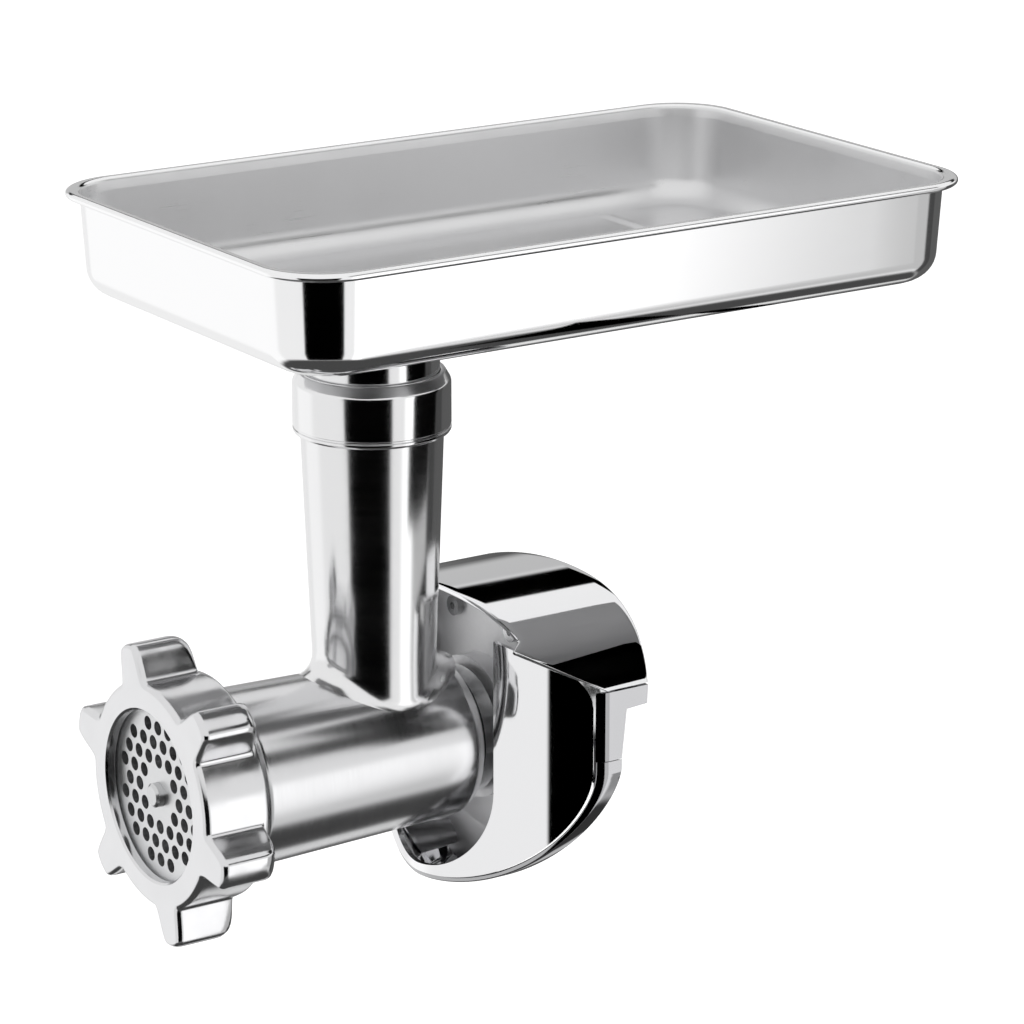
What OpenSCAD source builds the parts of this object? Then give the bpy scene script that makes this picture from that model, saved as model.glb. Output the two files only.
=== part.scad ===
// Meat grinder head for a stand mixer: feed tray, barrel, screw, knife, plate,
// ring nut and hub housing.
// Millimetres. +Y runs along the barrel axis from the plate end to the hub end, +Z is up.
// The origin is on the barrel axis where the hub shank's full diameter begins, half a
// millimetre behind the adapter plate's rear face.

/* [Barrel and neck] */
// distance from the origin forward to the feed neck's axis
neck_back = 48; // [44:0.5:52]
// barrel radius just behind the ring nut
barrel_r_front = 29.1; // [28:0.1:31]
// barrel radius at the rear shoulder
barrel_r_rear = 27.4; // [26:0.1:29]
// radius of the screw bore
bore_r = 24; // [23:0.1:25]
// feed neck outer radius at the barrel
neck_r_low = 20.2; // [19.5:0.1:21]
// feed neck outer radius below the collar
neck_r_top = 23.1; // [22:0.1:24]
// radius of the feed bore
feed_r = 17.4; // [16:0.1:18]
// outer radius of the polished collar
collar_r = 25.5; // [24.5:0.1:26]

/* [Plate and ring nut] */
// grinding plate radius, number 8 size
plate_r = 31; // [30:0.1:32]
// grinding plate thickness
plate_t = 7; // [6:0.5:8]
// radius of one plate hole
hole_r = 2.3; // [2:0.05:2.5]
// pitch of the hole pattern
hole_pitch = 6.4; // [6:0.1:7]
// ring nut opening radius
ring_open_r = 28; // [27:0.1:29]
// ring nut radius between the lobes
ring_r = 37; // [36.5:0.1:38]
// ring nut radius at the lobe tips
lobe_r = 49; // [47:0.1:50]
// ring nut length
ring_len = 23; // [20:0.5:25]
// clearance between thread crest and nut bore
thread_gap = 0.08; // [0.05:0.01:0.2]

/* [Tray] */
// tray length over the rim
tray_l = 258; // [240:1:270]
// tray width over the rim
tray_w = 161; // [150:1:168]
// tray height
tray_h = 34.5; // [32:0.5:40]
// rim top above the barrel axis
tray_top = 182.5; // [178:0.5:188]
// how far the tray reaches in front of the neck axis
tray_fore = 74.3; // [70:0.5:80]
// sheet thickness
sheet = 1; // [0.8:0.1:1.5]
// rim corner radius
rim_corner = 21.5; // [18:0.5:24]

/* [Hub housing] */
// half width of the housing
hw = 62; // [60:0.5:64]
// depth of the rounded bottom below its centre
low_b = 48.5; // [46:0.5:50]
// foremost point of the bulged front cover
face_y = -32.7; // [-34:0.1:-30]
// how far the cover bulges forward of its side edges
bulge = 34.3; // [32:0.1:36]
// half width of the slot for the barrel
slot_r = 32.8; // [31:0.1:34]
// height of the hood's crease line above the barrel axis
crease_z = 27.4; // [26:0.2:29]
// top of the hood above the barrel axis
hood_top = 48.4; // [47:0.2:50]
// front lip of the hood at its sides
lip_y = -20.7; // [-23:0.1:-18]
// rear edge of the hood at its sides
hood_back = 17.5; // [15:0.5:20]
// housing sheet thickness
skin = 1.8; // [1.5:0.1:2.5]
// radius of the hub shank
shank_r = 17.4; // [17:0.1:18]
// free length of the hub shank
shank_len = 32; // [28:1:36]

/* [Hidden] */
fn = 96;
eps = 0.01;
ny = -neck_back;
ring_y = -132.5;
plate_y0 = ring_y + 4.03;
plate_y1 = plate_y0 + plate_t;
mouth_y = plate_y0 + 2;
shoulder_y = -114;
mouth_r = plate_r + 0.15;
thread_r = 34;
thread_end = -110;
barrel_end = -19.3;
wall_in = -25.3;
tray_bot = tray_top - tray_h;
rim_w = 3.4;
wall_draft = 2;
wall_w = tray_w - 2 * rim_w;
tray_cy = ny - tray_fore + tray_l / 2;
cover_n = 1.5;
cover_t = 2.4;
side_y = face_y + bulge;
low_cz = 0.4;
band_w = 5.6;
band_top = 3.4;
strip_r = skin + 7.2;
arch_z0 = 21.8;
arch_p = 2.3;
arch_t0 = 9.6;
cut_rise = 0.54;
nose_z = 41.2;
spigot_r = 21.9;
collar_z0 = 108;
collar_z1 = 128;
neck_end = 112;
// half angles of a nut lobe at its tip and at its foot
lobe_half = 4.6;
lobe_foot = 10.8;
flank_step = (lobe_foot - lobe_half) / 5;
screw_r0 = 10.5;
screw_r = bore_r - 0.5;
bore_z0 = 30;
hub_gap = 0.5;
plate_front = -4 - hub_gap;
pin_y = -41.2;
steel = [0.82, 0.83, 0.84];
satin = [0.74, 0.75, 0.76];

// a cylinder along +Y from y0 to y1
module ycyl(r, y0, y1, r2 = -1, f = fn)
    translate([0, y0, 0]) rotate([-90, 0, 0])
        cylinder(h = y1 - y0, r1 = r, r2 = r2 < 0 ? r : r2, $fn = f);

// ---- barrel and neck -------------------------------------------------------

// the barrel's outside, from behind the mouth to the rear shoulder
module barrel_tube() {
    ycyl(barrel_r_front, mouth_y + 1, -25.4, barrel_r_rear);
    ycyl(barrel_r_rear - 0.03, -25.4 - eps, -22, barrel_r_rear - 1.7);
    ycyl(barrel_r_rear - 1.75, -22 - eps, barrel_end, barrel_r_rear - 5.6);
}

module barrel() color(satin) difference() {
    union() {
        // mouth with thread crests
        ycyl(33.1, mouth_y, thread_end);
        for (k = [0 : 3])
            ycyl(thread_r, mouth_y + 1.5 + k * 4, mouth_y + 3.7 + k * 4);
        ycyl(33.1, thread_end - eps, thread_end + 5.5, barrel_r_front + 0.3);
        barrel_tube();
    }
    // plate seat, screw bore, rear wall
    ycyl(mouth_r, mouth_y - 1, shoulder_y);
    ycyl(bore_r, shoulder_y - 1, wall_in);
    ycyl(12.5, wall_in - 1, barrel_end + 1);
    // feed opening
    translate([0, ny, 5]) cylinder(h = 40, r = feed_r + 0.8, $fn = fn);
    // key pin hole at the top of the mouth
    translate([0, mouth_y + 3, plate_r - 2.4]) cylinder(h = 4.3, r = 1.5, $fn = 32);
    // holes for the shank screws
    for (a = [45 : 90 : 315]) rotate([0, a, 0])
        translate([17.5, wall_in + 1.5, 0]) rotate([-90, 0, 0]) cylinder(h = 6, r = 1.6, $fn = 32);
}

// the tapered feed tube with the weld saddle at its foot
module feed_neck() color(satin) difference() {
    union() {
        translate([0, ny, 12])
            cylinder(h = collar_z0 - 12, r1 = neck_r_low - 0.4, r2 = neck_r_top, $fn = fn);
        translate([0, ny, collar_z0 - eps])
            cylinder(h = neck_end - collar_z0, r = neck_r_top - 0.4, $fn = fn);
        translate([0, ny, 14])
            cylinder(h = 18, r1 = neck_r_low + 8, r2 = neck_r_low + 0.06, $fn = fn);
    }
    // feed bore, relieved where it enters the barrel
    translate([0, ny, bore_z0 - 1]) cylinder(h = neck_end, r = feed_r, $fn = fn);
    translate([0, ny, 5]) cylinder(h = bore_z0 - 5, r = feed_r + 0.8, $fn = fn);
    barrel_tube();
    ycyl(20, -26, 0);
}

module neck_collar() color(steel) translate([0, ny, 0]) difference() {
    union() {
        translate([0, 0, collar_z0])
            cylinder(h = 1.2, r1 = collar_r - 1, r2 = collar_r, $fn = fn);
        translate([0, 0, collar_z0 + 1.2 - eps])
            cylinder(h = 15.4, r = collar_r, $fn = fn);
        translate([0, 0, collar_z0 + 16.6 - 2 * eps])
            cylinder(h = 3.4, r1 = collar_r, r2 = collar_r - 2, $fn = fn);
    }
    translate([0, 0, collar_z0 - 1]) cylinder(h = 30, r = spigot_r + 0.1, $fn = fn);
    translate([0, 0, collar_z0 - 1])
        cylinder(h = neck_end - collar_z0 + 1, r = neck_r_top - 0.4, $fn = fn);
}

module plate_key() color(steel)
    translate([0, mouth_y + 3, plate_r - 2.3]) cylinder(h = 4.2, r = 1.5, $fn = 32);

module rear_bush() color([0.72, 0.55, 0.28]) difference() {
    ycyl(12.5, wall_in, barrel_end);
    ycyl(8.05, wall_in - 1, barrel_end + 1);
}

module shaft_seal() color([0.12, 0.12, 0.12]) difference() {
    ycyl(12.4, barrel_end + 0.02, barrel_end + 3);
    ycyl(8.2, barrel_end - 1, barrel_end + 4);
}

module flange_gasket() color([0.15, 0.15, 0.15]) difference() {
    ycyl(21.2, barrel_end, barrel_end + 0.8);
    ycyl(13, barrel_end - 1, barrel_end + 2);
    for (a = [45 : 90 : 315]) rotate([0, a, 0])
        translate([17.5, barrel_end - 1, 0]) rotate([-90, 0, 0])
            cylinder(h = 3, r = 1.8, $fn = 32);
}

module hub_shank() color(steel) difference() {
    union() {
        ycyl(21.2, barrel_end + 0.8, barrel_end + 6);
        ycyl(shank_r - 0.4, barrel_end + 5, 1);
        ycyl(shank_r, 0, shank_len - 1.5);
        ycyl(shank_r, shank_len - 1.5 - eps, shank_len, shank_r - 1.5);
    }
    ycyl(13, barrel_end, barrel_end + 3.2);
    ycyl(8.6, barrel_end, shank_len + 1);
    for (a = [45 : 90 : 315]) rotate([0, a, 0])
        translate([17.5, barrel_end, 0]) rotate([-90, 0, 0]) {
            cylinder(h = 8, r = 1.8, $fn = 32);
            translate([0, 0, 4.3]) cylinder(h = 2, r = 3.1, $fn = 32);
        }
    // dimple for the hub's thumb screw
    translate([shank_r - 2.2, 16, 0]) rotate([0, 90, 0])
        cylinder(h = 2.4, r1 = 1, r2 = 3.2, $fn = 32);
}

module shank_screws() color(steel)
    for (a = [45 : 90 : 315]) rotate([0, a, 0]) translate([17.5, 0, 0]) {
        ycyl(1.6, wall_in + 1.7, barrel_end + 4.3 + eps, f = 32);
        difference() {
            ycyl(2.9, barrel_end + 4.3, barrel_end + 6, f = 32);
            ycyl(1.2, barrel_end + 4.9, barrel_end + 7, f = 6);
        }
    }

// ---- hub housing -----------------------------------------------------------

// signed power, for the rounded outlines
function spow(v, e) = (v < 0 ? -1 : 1) * pow(abs(v), e);

// outline of the housing's lower part, grown inwards by d, from y0 to y1, with straight sides to top
module lower_outline(d, y0, y1, top)
    translate([0, y1, 0]) rotate([90, 0, 0]) linear_extrude(height = y1 - y0)
        polygon(concat(
            [for (k = [0 : 48]) let (a = 180 + 3.75 * k)
                [(hw - d) * cos(a), low_cz + (low_b - d) * sin(a)]],
            top > low_cz + 0.01 ? [[hw - d, top], [-hw + d, top]] : []));

// plan of the bulged front, moved back by d: everything behind it
module behind_front(d, back = 40)
    translate([0, 0, -60]) linear_extrude(height = 130)
        polygon(concat(
            [for (k = [0 : 36]) let (a = 5 * k)
                [hw * spow(cos(a), 2 / cover_n), face_y + d + bulge * (1 - pow(sin(a), 2 / cover_n))]],
            [[-hw, back], [hw, back]]));

// half of the hood's arch as [x, z] at angle t, drawn in by d
function arch_x(t, d) = (hw - d) * spow(cos(t), 2 / arch_p);
function arch_z(t, d) = arch_z0 + (hood_top - arch_z0 - d) * pow(sin(t), 2 / arch_p);

// outline of the cover: the lower outline with a top that follows the hood's underside
module cover_outline(d, y0, y1)
    translate([0, y1, 0]) rotate([90, 0, 0]) linear_extrude(height = y1 - y0)
        polygon(concat(
            [for (k = [0 : 48]) let (a = 180 + 3.75 * k)
                [(hw - d) * cos(a), low_cz + (low_b - d) * sin(a)]],
            [for (k = [0 : 30]) let (t = 6 * k) [arch_x(t, d + 0.1), arch_z(t, d + 0.1)]]));

module slot_cut() {
    translate([0, 0, -10.7]) ycyl(slot_r, -45, 12);
    translate([-slot_r, -45, -10.7]) cube([2 * slot_r, 57, 80]);
}

// everything under the slanted plane through the crease's front corners
module under_crease()
    translate([-70, 0, 0]) rotate([90, 0, 90]) linear_extrude(height = 140)
        polygon([[-45, -60], [20, -60], [20, crease_z - cut_rise * (20 - side_y)],
            [-45, crease_z + cut_rise * (side_y + 45)]]);

module front_cover() color(steel) difference() {
    intersection() {
        behind_front(0, 5);
        cover_outline(skin + 0.05, -40, 6);
        under_crease();
    }
    behind_front(cover_t);
    slot_cut();
}

module lower_band() color(steel) difference() {
    intersection() {
        lower_outline(0, -40, 12, low_cz + 4);
        behind_front(0.6);
        translate([-70, -45, -60]) cube([140, 70, 60 + band_top]);
    }
    lower_outline(skin, -41, 13, low_cz + 6);
    behind_front(0.6 + band_w);
    band_screw_holes(1.05);
}

// the screws that hold the lower band to the strips' feet, along x
module band_screw_holes(r)
    for (s = [-1, 1]) scale([s, 1, 1])
        translate([hw - 8, 1.5, -3.5]) rotate([0, 90, 0]) cylinder(h = 7, r = r, $fn = 24);

module side_strips() color(steel) difference() {
    for (s = [-1, 1]) scale([s, 1, 1]) {
        // outer wall with the notch at its rear
        intersection() {
            translate([hw - skin, 0, 0]) rotate([90, 0, 90]) linear_extrude(height = skin)
                polygon([[-5, band_top + 0.25], [7.2, band_top + 0.25], [9, 20.2], [17, 20.7],
                    [17.3, crease_z - 0.4], [-5, crease_z - 0.4]]);
            behind_front(0.6);
        }
        // foot for the lower band, and the tongue under the hood
        translate([hw - 5.6, 0, -8]) cube([2.2, 4, 18]);
        translate([hw - 5.6, 0, 5]) cube([4.2, 4, 4]);
        translate([hw - strip_r, 8, 22]) cube([2.2, 8, 11]);
        translate([hw - strip_r, 8, 22]) cube([strip_r - 0.6, 8, 2.2]);
    }
    band_screw_holes(1.1);
}

module band_screws() color(steel) for (s = [-1, 1]) scale([s, 1, 1])
    translate([0, 1.5, -3.5]) rotate([0, 90, 0]) {
        translate([0, 0, hw - 7.1]) cylinder(h = 1.5, r = 2.2, $fn = 32);
        translate([0, 0, hw - 5.7]) cylinder(h = 4.6, r = 1, $fn = 24);
    }

// the hood: a sheet arch with a slanted cut at each side, a small nose where the cut meets the lip,
// and a rear edge that bows backwards
function lip_at(x) = lip_y + 2.6 * (1 - pow(x / hw, 2));
function back_at(x) = hood_back + 13.1 * (1 - pow(x / hw, 2));
function cut_at(z) = side_y - (z - crease_z) / cut_rise;
function front_at(x, z) = z < nose_z ? cut_at(z) : z > nose_z + 2 ? lip_at(x)
    : cut_at(nose_z) + (lip_at(x) - cut_at(nose_z)) * (z - nose_z) / 2;
hood_n = 48;
hood_m = 4;
function hood_t(i) = arch_t0 + (180 - 2 * arch_t0) * i / hood_n;
// one row of hood points along y at step i, drawn in by d
function hood_row(i, d) = let (t = hood_t(i), x = arch_x(t, 0), y0 = front_at(x, arch_z(t, 0)))
    [for (j = [0 : hood_m]) [arch_x(t, d), y0 + (back_at(x) - y0) * j / hood_m, arch_z(t, d)]];
hood_pts = [for (d = [0, skin]) for (i = [0 : hood_n]) for (p = hood_row(i, d)) p];
function hi(l, i, j) = l * (hood_n + 1) * (hood_m + 1) + i * (hood_m + 1) + j;
// two triangles of a four-sided patch
function quad(a, b, c, d) = [[a, b, c], [a, c, d]];
hood_faces = concat(
    [for (i = [0 : hood_n - 1]) for (j = [0 : hood_m - 1])
        for (f = quad(hi(0, i, j), hi(0, i, j + 1), hi(0, i + 1, j + 1), hi(0, i + 1, j))) f],
    [for (i = [0 : hood_n - 1]) for (j = [0 : hood_m - 1])
        for (f = quad(hi(1, i, j), hi(1, i + 1, j), hi(1, i + 1, j + 1), hi(1, i, j + 1))) f],
    [for (i = [0 : hood_n - 1])
        for (f = quad(hi(0, i, 0), hi(0, i + 1, 0), hi(1, i + 1, 0), hi(1, i, 0))) f],
    [for (i = [0 : hood_n - 1])
        for (f = quad(hi(0, i, hood_m), hi(1, i, hood_m), hi(1, i + 1, hood_m), hi(0, i + 1, hood_m))) f],
    [for (j = [0 : hood_m - 1])
        for (f = quad(hi(0, 0, j), hi(1, 0, j), hi(1, 0, j + 1), hi(0, 0, j + 1))) f],
    [for (j = [0 : hood_m - 1])
        for (f = quad(hi(0, hood_n, j), hi(0, hood_n, j + 1), hi(1, hood_n, j + 1), hi(1, hood_n, j))) f]);

module hood() color(steel)
    polyhedron(points = hood_pts, faces = hood_faces, convexity = 6);

module adapter_plate() color([0.6, 0.61, 0.62]) difference() {
    union() {
        lower_outline(9.5, plate_front, -hub_gap, 30);
        intersection() {
            translate([-30, plate_front, 28]) cube([60, 4, 19.5]);
            translate([0, 0, -54]) ycyl(100.2, -5, 1);
        }
        // boss the shank flange is clamped against
        ycyl(24, barrel_end + 8, plate_front + eps);
    }
    ycyl(shank_r - 0.36, -30, 10);
    // relief that lets a hub lie flat round the shank
    ycyl(shank_r + 0.3, -hub_gap - 1.2, 10);
    // flange recess
    ycyl(21.3, barrel_end + 7, barrel_end + 8 + eps);
    post_holes(1.6, -10, 4);
    // counterbores, so that the heads stay under the rear face
    post_holes(3.2, -2.7, 4);
    for (x = [-17, 17]) translate([x, 0, 36.6]) ycyl(1.6, -10, 4, f = 32);
}

// position and inset of each step of the shield, from the cover back to the plate
shield_steps = [[-31, 2.2], [-26.5, 3.5], [-21.5, 5], [-16, 6.6], [-10.2, 8.1], [plate_front, 9.6]];

// dished sheet that closes the housing's underside between the cover and the plate
module inner_shield() color(steel) intersection() {
    for (k = [0 : 4]) difference() {
        lower_outline(shield_steps[k][1], shield_steps[k][0], shield_steps[k + 1][0] + (k < 4 ? eps : 0),
            low_cz);
        lower_outline(shield_steps[k + 1][1] + 1, shield_steps[k][0] - 1, shield_steps[k + 1][0] + 1, 20);
    }
    behind_front(cover_t + 0.05);
}

module at_posts()
    for (x = [-38, 38]) for (z = [-8, 22]) translate([x, 0, z]) children();

module post_holes(r, y0, y1) at_posts() ycyl(r, y0, y1, f = 32);

module support_posts() color(satin) difference() {
    intersection() {
        at_posts() ycyl(3.6, -22, plate_front, f = 48);
        behind_front(cover_t + 0.02);
    }
    post_holes(1.6, -12, -3);
}

module cover_screws() color(steel) {
    for (x = [-17, 17]) translate([x, 0, 36.6]) {
        ycyl(1.6, plate_front - eps, -hub_gap - 0.2, f = 32);
        difference() {
            ycyl(3.4, plate_front - 2.4, plate_front, f = 48);
            ycyl(1.4, plate_front - 3, plate_front - 1.2, f = 6);
        }
    }
    at_posts() {
        ycyl(1.6, -10, -2.6, f = 32);
        ycyl(3, -2.6 - eps, -hub_gap - 0.2, f = 48);
    }
}

// ---- screw, knife and drive ------------------------------------------------

flight_turns = 2.75;
flight_y0 = -111.6;
flight_y1 = -27.2;

module auger() color(satin) difference() {
    union() {
        ycyl(screw_r0, flight_y0, flight_y1);
        ycyl(screw_r - 0.5, flight_y1 - 3, flight_y1);
        translate([0, flight_y1 - 2.5, 0]) rotate([90, 0, 0])
            linear_extrude(height = flight_y1 - flight_y0 - 3, twist = 360 * flight_turns,
                slices = 60, convexity = 8)
                polygon([for (k = [0 : 6]) let (a = -26 + 52 * k / 6)
                    [screw_r * cos(a), screw_r * sin(a)],
                    [(screw_r0 - 1.5) * cos(34), (screw_r0 - 1.5) * sin(34)],
                    [(screw_r0 - 1.5) * cos(34), -(screw_r0 - 1.5) * sin(34)]]);
    }
    ycyl(5, flight_y0 - 1, flight_y0 + 22);
    ycyl(6, flight_y1 - 24, flight_y1 + 1);
    translate([0, pin_y, -30]) cylinder(h = 60, r = 2, $fn = 32);
}

module auger_stud() color(steel) union() {
    ycyl(5, flight_y0, flight_y0 + 22);
    translate([-4.5, plate_y1 + 0.1, -4.5]) cube([9, flight_y0 - plate_y1 - 0.1 + eps, 9]);
    ycyl(3.95, plate_y0 - 2.1, plate_y1 + 0.2);
    ycyl(3.1, plate_y0 - 2.9, plate_y0 - 2.1 + eps, 3.95);
}

module cross_knife() color(steel) difference() {
    union() {
        ycyl(10.4, plate_y1 + 0.15, flight_y0 - 0.02);
        for (a = [0 : 90 : 270]) rotate([0, a, 0]) {
            translate([6, plate_y1 + 0.15, -3.6]) cube([20.5, 3.2, 8.2]);
            translate([6, plate_y1 + 3, -3.6]) cube([17, 2.6, 5]);
        }
    }
    translate([-4.55, plate_y1 - 1, -4.55]) cube([9.1, 20, 9.1]);
}

module drive_shaft() color(steel) difference() {
    union() {
        ycyl(5.98, flight_y1 - 23.9, -25.8);
        ycyl(8, -25.8 - eps, 33);
        translate([-4.8, 33 - eps, -4.8]) cube([9.6, 12, 9.6]);
    }
    translate([0, pin_y, -30]) cylinder(h = 60, r = 2, $fn = 32);
}

module drive_pin() color(steel)
    translate([0, pin_y, -9.8]) cylinder(h = 19.6, r = 1.99, $fn = 32);

module thrust_washer() color([0.92, 0.91, 0.88]) difference() {
    ycyl(14, flight_y1 + 0.02, wall_in - 0.1);
    ycyl(8.05, flight_y1 - 1, wall_in + 1);
}

// ---- plate and ring nut ----------------------------------------------------

module grinding_plate() color(steel) difference() {
    ycyl(plate_r, plate_y0, plate_y1);
    ycyl(4, plate_y0 - 1, plate_y1 + 1);
    for (i = [-5 : 5]) for (j = [-5 : 5]) {
        x = (i + j / 2) * hole_pitch;
        z = j * hole_pitch * sqrt(3) / 2;
        d = sqrt(x * x + z * z);
        if (d > 7 && d < 24.2)
            translate([x, 0, z]) ycyl(hole_r, plate_y0 - 1, plate_y1 + 1, f = 24);
    }
    // key slot at the top edge
    translate([-1.65, plate_y0 - 1, plate_r - 2.6]) cube([3.3, plate_t + 2, 6]);
}

// nut radius at u degrees from a lobe's middle
function nut_r(u) = let (v = (abs(u) - lobe_half) / (lobe_foot - lobe_half))
    v <= 0 ? lobe_r - 0.35 * pow(abs(u) / lobe_half, 3)
    : v >= 1 ? ring_r
    : ring_r + (lobe_r - 0.35 - ring_r) * (1 + cos(180 * v)) / 2;

module ring_nut() color(steel) difference() {
    union() {
        translate([0, ring_y + 20.4, 0]) rotate([90, 0, 0])
            linear_extrude(height = 19.6, convexity = 4)
                polygon([for (c = [-15 : 60 : 285])
                    for (u = [-30, -25, -20, -15, for (k = [-5 : 0]) k * flank_step - lobe_half, -2.3,
                        0, 2.3, for (k = [0 : 5]) k * flank_step + lobe_half, 15, 20, 25])
                        [nut_r(u) * sin(c + u), nut_r(u) * cos(c + u)]]);
        for (c = [-15 : 60 : 285]) rotate([0, c, 0])
            translate([-2.8, ring_y + 20.4 - eps, 35.5]) cube([5.6, 1.1, 9.3]);
        ycyl(ring_r - 1, ring_y, ring_y + 0.8 + eps, ring_r - 0.2);
        ycyl(ring_r - 0.2, ring_y + 2, ring_y + ring_len - 0.8);
        ycyl(ring_r - 0.2, ring_y + ring_len - 0.8 - eps, ring_y + ring_len, ring_r - 1.3);
    }
    ycyl(ring_open_r, ring_y - 1, ring_y + 6);
    ycyl(thread_r + thread_gap, ring_y + 4, ring_y + ring_len + 1);
}

// ---- tray ------------------------------------------------------------------

// rounded slab on the tray's plan, drawn in by d, corner radius r at d = 0
module slab(d, r, z0, z1) let (w = tray_w / 2 - d - r, l = tray_l / 2 - d - r)
    translate([0, tray_cy, z0]) linear_extrude(height = z1 - z0)
        polygon([for (c = [[1, 1, 0], [-1, 1, 90], [-1, -1, 180], [1, -1, 270]])
            for (k = [0 : 10]) let (a = c[2] + 9 * k)
                [c[0] * w + r * cos(a), c[1] * l + r * sin(a)]]);

// the floor's rounding: inset and height of each step, from the wall to the floor
steps = [[0, 26], [wall_draft / 3, 19], [wall_draft * 2 / 3, 13], [wall_draft, 9.5], [2.6, 7],
    [3.9, 4.4], [6, 2.2], [8.6, 0.8], [11.8, 0]];
module pan_shape(g, top)
    for (k = [0 : len(steps) - 1])
        slab(rim_w + steps[k][0] + g, rim_corner - steps[k][0] * 0.9 - g * 0.6,
            tray_bot + steps[k][1] + g, k == 0 ? top : tray_bot + steps[k - 1][1] + g + eps);

module tray_pan() color(steel) union() {
    difference() {
        union() {
            slab(0, rim_corner, tray_top - 2.6, tray_top - 0.7);
            slab(0.8, rim_corner - 0.6, tray_top - 0.7 - eps, tray_top);
            pan_shape(0, tray_top - 1);
        }
        pan_shape(sheet, tray_top + 1);
        translate([0, ny, tray_bot - 1]) cylinder(h = 8, r = spigot_r - 1.4, $fn = fn);
    }
    // raised step across the floor near the rear end
    translate([-wall_w / 2 + 12, ny + 131, tray_bot + sheet - eps]) cube([wall_w - 24, 7, 1.2]);
}

module tray_spigot() color(steel) translate([0, ny, 0]) difference() {
    union() {
        translate([0, 0, neck_end + 0.6]) cylinder(h = tray_bot - neck_end - 0.6, r = spigot_r, $fn = fn);
        translate([0, 0, tray_bot - 1.2]) cylinder(h = 1.2, r = spigot_r + 6, $fn = fn);
    }
    translate([0, 0, neck_end - 1]) cylinder(h = 60, r = spigot_r - 1.4, $fn = fn);
}

barrel();
feed_neck();
neck_collar();
plate_key();
rear_bush();
shaft_seal();
hub_shank();
flange_gasket();
adapter_plate();
inner_shield();
front_cover();
hood();
side_strips();
lower_band();
cover_screws();
band_screws();
shank_screws();
support_posts();
auger();
auger_stud();
cross_knife();
drive_shaft();
drive_pin();
thrust_washer();
grinding_plate();
ring_nut();
tray_pan();
tray_spigot();
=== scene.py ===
import math

import bmesh
import bpy
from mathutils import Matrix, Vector


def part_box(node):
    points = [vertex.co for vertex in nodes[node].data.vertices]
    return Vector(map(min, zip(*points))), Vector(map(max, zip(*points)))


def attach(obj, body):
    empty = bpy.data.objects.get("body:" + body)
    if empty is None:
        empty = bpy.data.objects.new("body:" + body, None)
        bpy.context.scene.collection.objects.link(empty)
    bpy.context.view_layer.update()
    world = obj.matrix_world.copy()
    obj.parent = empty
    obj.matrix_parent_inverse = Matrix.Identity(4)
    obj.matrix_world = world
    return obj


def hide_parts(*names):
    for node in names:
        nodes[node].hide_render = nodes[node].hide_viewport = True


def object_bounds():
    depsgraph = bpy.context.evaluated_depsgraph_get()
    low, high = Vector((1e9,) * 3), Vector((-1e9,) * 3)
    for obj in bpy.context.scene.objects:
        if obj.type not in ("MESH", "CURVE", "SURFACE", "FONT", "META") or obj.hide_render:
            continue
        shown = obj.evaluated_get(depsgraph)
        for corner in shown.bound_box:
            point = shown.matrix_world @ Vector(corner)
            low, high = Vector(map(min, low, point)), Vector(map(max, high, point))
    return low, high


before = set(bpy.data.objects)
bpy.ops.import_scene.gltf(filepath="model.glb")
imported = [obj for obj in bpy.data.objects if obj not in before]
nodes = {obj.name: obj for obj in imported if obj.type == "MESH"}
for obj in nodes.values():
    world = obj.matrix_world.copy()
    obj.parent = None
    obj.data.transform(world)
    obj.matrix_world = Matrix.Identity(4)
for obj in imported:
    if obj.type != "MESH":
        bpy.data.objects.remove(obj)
cad_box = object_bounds()
MM = 0.001


# ---- sizes read from the frame ----------------------------------------------

def span(node, axis):
    low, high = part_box(node)
    return low[axis], high[axis]


X, Y, Z = 0, 1, 2
NECK_Y = sum(span("tray_spigot", Y)) / 2
RING_Y0, RING_Y1 = span("ring_nut", Y)
MOUTH_Y, BARREL_Y1 = span("barrel", Y)
THREAD_R = span("barrel", X)[1]
PLATE_R = span("grinding_plate", X)[1]
COLLAR_R = span("neck_collar", X)[1]
COLLAR_Z0, COLLAR_Z1 = span("neck_collar", Z)
NECK_Z1 = span("feed_neck", Z)[1]
TRAY_X = span("tray_pan", X)[1]
TRAY_Y0, TRAY_Y1 = span("tray_pan", Y)
TRAY_Z0, TRAY_Z1 = span("tray_pan", Z)
SPIGOT_Z0 = span("tray_spigot", Z)[0]
BAND_X = span("lower_band", X)[1]
BAND_Z0, BAND_Z1 = span("lower_band", Z)
HOOD_Z1 = span("hood", Z)[1]
AUGER_Y0, AUGER_Y1 = span("auger", Y)
AUGER_R = span("auger", X)[1]

# radii and depths that the boxes don't give
BARREL_FRONT = 29.1 * MM
BARREL_REAR = 27.4 * MM
BARREL_BORE = 24 * MM
SHOULDER_Y = -25.4 * MM
NECK_LOW = 20.2 * MM
NECK_TOP = 23.1 * MM
FEED_R = 17.4 * MM
SPIGOT_R = 21.9 * MM
SPIGOT_WALL = 1.4 * MM
SHEET = 1 * MM
SKIN = 1.8 * MM
WELD_DIST = 1e-7


# ---- mesh helpers -----------------------------------------------------------

def finish_mesh(name, bm, body, replaces=(), angle=38, materials=()):
    """Turns bm into a smooth-shaded piece that rides on body."""
    bmesh.ops.remove_doubles(bm, verts=bm.verts, dist=WELD_DIST)
    bmesh.ops.recalc_face_normals(bm, faces=bm.faces)
    mesh = bpy.data.meshes.new(name)
    bm.to_mesh(mesh)
    bm.free()
    for material in materials:
        mesh.materials.append(material)
    mesh.shade_smooth()
    mesh.set_sharp_from_angle(angle=math.radians(angle))
    piece = bpy.data.objects.new(name, mesh)
    bpy.context.scene.collection.objects.link(piece)
    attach(piece, body)
    if replaces:
        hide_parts(*replaces)
    return piece


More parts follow.
